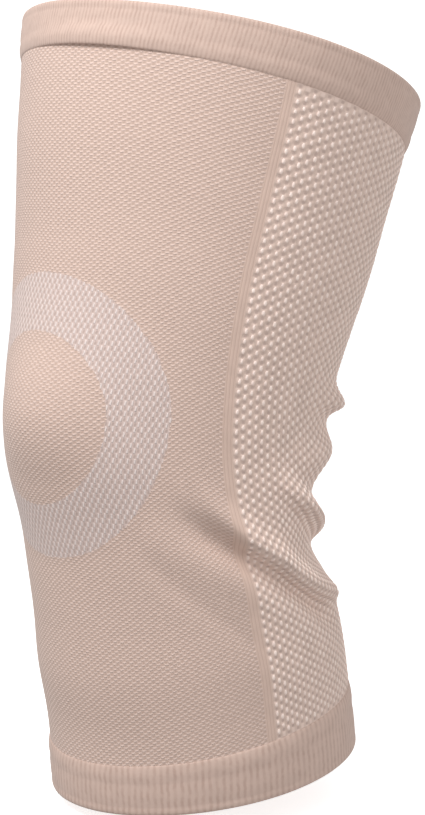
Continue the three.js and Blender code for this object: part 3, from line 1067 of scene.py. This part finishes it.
class KNEESLEEVE_OT_cuffs(Knitting, bpy.types.Operator):
    """Knits the two ribbed elastic cuffs"""

    bl_idname = "knee_sleeve.cuffs"
    bl_label = "Cuffs"

    def make(self, sizes, yarns, cloth):
        material = rib_nylon("Nylon elastic rib, beige", yarns, sizes.top_rib)
        for end in ("top", "bottom"):
            piece, girth = ribbed_cuff(sizes, end)
            put_on(piece, material, "cuff_rib", f"{end}_cuff")
            sum(cuff_depths(sizes, end)) / 2


# The studio

CAMERA = {"azimuth": 52, "elevation": 3, "distance": 0.670, "lens": 78.3, "sensor": 36}
FRAME = {"width": 425, "height": 815}
ORIGIN_PIXEL = (172, 395)


def stand(data, azimuth, elevation, distance):
    """Stands a light or the camera round the sleeve, facing it. Azimuth 0 is before the kneecap."""
    a, e = math.radians(azimuth), math.radians(elevation)
    way = Vector((math.sin(a) * math.cos(e), -math.cos(a) * math.cos(e), math.sin(e)))
    thing = bpy.data.objects.new(data.name, data)
    thing.location = way * distance
    thing.rotation_euler = way.to_track_quat("Z", "Y").to_euler()
    bpy.context.collection.objects.link(thing)
    return thing


LIGHTS = (
    {"name": "key", "azimuth": 14, "elevation": 50, "distance": 0.95, "size": 0.45, "power": 7.4},
    {"name": "fill", "azimuth": 118, "elevation": 8, "distance": 1.5, "size": 0.9, "power": 4.5},
)
WORLD_STRENGTH = 0.52

# The floor's radius and height, from its middle to the top of its wall, its sides, and its gap to the sleeve.
FLOOR_PROFILE = ((0, 0), (1, 0), (2, 0), (2.3, 0.03), (2.6, 0.14), (2.8, 0.34), (2.9, 0.6), (2.95, 1.2))
FLOOR_SIDES = 96
FLOOR_GAP = 4 * MM

# Matt painted board, even and pale. It glows a little, as a backdrop with its own lights does.
PAINT = {"Roughness": 0.9, "Emission Color": (1, 1, 1, 1), "Emission Strength": 0.7}


class KNEESLEEVE_OT_studio(bpy.types.Operator):
    """Sets up the floor, the lights and the camera"""

    bl_idname = "knee_sleeve.studio"
    bl_label = "Studio"

    def execute(self, context):
        self.floor(context)
        for light in LIGHTS:
            self.light(**light)
        self.camera(context)
        world = bpy.data.worlds.new("Soft white studio")
        world.use_nodes = True
        background = world.node_tree.nodes["Background"]
        background.inputs["Color"].default_value = (1, 1, 1, 1)
        background.inputs["Strength"].default_value = WORLD_STRENGTH
        context.scene.world = world
        context.scene.view_settings.view_transform = "Standard"
        return {"FINISHED"}

    def floor(self, context):
        """A round floor that curves up into a low wall on all sides."""
        turns = np.linspace(0, 2 * np.pi, FLOOR_SIDES, False)[:, None]
        radius, height = np.array(FLOOR_PROFILE).T[:, None]
        height = height + (CAD_BOX[0].z - FLOOR_GAP)
        places = joined(np.cos(turns) * radius, np.sin(turns) * radius, height)
        index = np.arange(places[..., 0].size).reshape(places.shape[:2])
        index[:, 0] = 0
        faces = cells(np.pad(index, ((0, 1), (0, 0)), mode="wrap")).tolist()
        mesh = bpy.data.meshes.new("studio_floor")
        mesh.from_pydata(places.reshape(-1, 3).tolist(), [], [list(dict.fromkeys(face)) for face in faces])
        mesh.flip_normals()
        mesh.shade_smooth()
        floor = bpy.data.objects.new("studio_floor", mesh)
        context.collection.objects.link(floor)
        # The backdrop looks white but throws no light up at the sleeve, whose lower half lies in soft shade.
        floor.visible_diffuse = False
        floor.visible_glossy = False
        colour = (*context.scene.sleeve_yarns.floor, 1.0)
        mesh.materials.append(new_material("Matt paint, white", {"Base Color": colour, **PAINT}))
        floor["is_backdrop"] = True

    def light(self, name, azimuth, elevation, distance, size, power):
        """A round soft light that faces the sleeve."""
        data = bpy.data.lights.new(name, "AREA")
        data.shape = "DISK"
        data.size = size
        data.energy = power
        stand(data, azimuth, elevation, distance).visible_camera = False

    def camera(self, context):
        """The camera is turned a little away from the sleeve's middle, as the photograph frames it."""
        data = bpy.data.cameras.new("camera")
        data.lens = CAMERA["lens"]
        data.sensor_width = CAMERA["sensor"]
        camera = stand(data, CAMERA["azimuth"], CAMERA["elevation"], CAMERA["distance"])
        pixel = CAMERA["distance"] * CAMERA["sensor"] / CAMERA["lens"] / FRAME["height"]
        right = (FRAME["width"] / 2 - ORIGIN_PIXEL[0]) * pixel
        up = (ORIGIN_PIXEL[1] - FRAME["height"] / 2) * pixel
        aim = camera.rotation_euler.to_matrix() @ Vector((right, up, 0))
        camera.rotation_euler = (camera.location - aim).to_track_quat("Z", "Y").to_euler()
        context.scene.camera = camera


class KNEESLEEVE_PT_panel(bpy.types.Panel):
    """The sleeve's pieces, its sizes and its yarns"""

    bl_label = "Knee Sleeve"
    bl_idname = "KNEESLEEVE_PT_panel"
    bl_space_type = "VIEW_3D"
    bl_region_type = "UI"
    bl_category = "Knee Sleeve"

    def draw(self, context):
        for operator in OPERATORS:
            self.layout.operator(operator.bl_idname)
        for group in (context.scene.sleeve_sizes, context.scene.sleeve_yarns):
            box = self.layout.box()
            for name in group.__annotations__:
                box.prop(group, name)


OPERATORS = (
    KNEESLEEVE_OT_front,
    KNEESLEEVE_OT_kneecap,
    KNEESLEEVE_OT_strips,
    KNEESLEEVE_OT_back,
    KNEESLEEVE_OT_cuffs,
    KNEESLEEVE_OT_studio,
)
CLASSES = (SleeveSizes, SleeveYarns, *OPERATORS, KNEESLEEVE_PT_panel)


def register():
    for each in CLASSES:
        bpy.utils.register_class(each)
    bpy.types.Scene.sleeve_sizes = PointerProperty(type=SleeveSizes)
    bpy.types.Scene.sleeve_yarns = PointerProperty(type=SleeveYarns)


def unregister():
    del bpy.types.Scene.sleeve_yarns
    del bpy.types.Scene.sleeve_sizes
    for each in reversed(CLASSES):
        bpy.utils.unregister_class(each)


def main():
    register()
    for operator in OPERATORS:
        group, name = operator.bl_idname.split(".")
        getattr(getattr(bpy.ops, group), name)()
    boxes = [[list(corner) for corner in box] for box in (CAD_BOX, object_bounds())]


if __name__ == "__main__":
    main()
